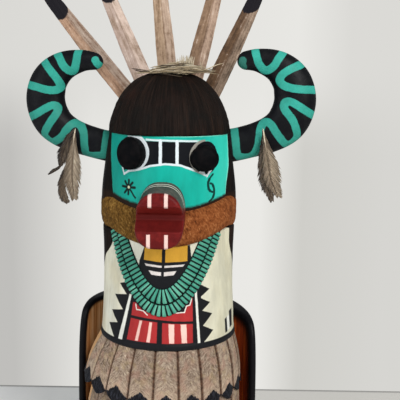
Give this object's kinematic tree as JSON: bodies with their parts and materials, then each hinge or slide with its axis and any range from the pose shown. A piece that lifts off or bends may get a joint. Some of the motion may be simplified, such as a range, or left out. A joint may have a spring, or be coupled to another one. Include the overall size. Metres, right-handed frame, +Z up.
{
  "type": "kachina doll",
  "caption": "Carved and painted wooden kachina doll with a horned animal mask, feather crest, robe and feather skirt, standing on a low round plinth",
  "frame": {"origin": "middle of the plinth's underside", "axes": "+Z up, the mask faces -Y, +X is to the viewer's right"},
  "size_m": [0.1854, 0.15, 0.3476],
  "materials": {
    "painted_root": "matt mineral paint over carved cottonwood root",
    "painted_horn": "matt turquoise and black paint",
    "painted_snout": "satin red and grey paint",
    "black_paint": "satin black paint",
    "carved_feather": "matt stained wood, black tips",
    "plant_fibre": "dry fibre",
    "soft_feather": "soft natural feather",
    "stained_plinth": "satin dark stain"
  },
  "bodies": {
    "root": {"figure": "painted_root", "horn_left": "painted_horn", "horn_right": "painted_horn", "snout": "painted_snout", "eye_left": "black_paint", "eye_right": "black_paint", "crest_feather_1": "carved_feather", "crest_feather_2": "carved_feather", "crest_feather_3": "carved_feather", "crest_feather_4": "carved_feather", "crest_feather_5": "carved_feather", "tuft": "plant_fibre", "hanging_feather_left": "soft_feather", "hanging_feather_right": "soft_feather", "plinth": "stained_plinth"}
  },
  "joints": []
}
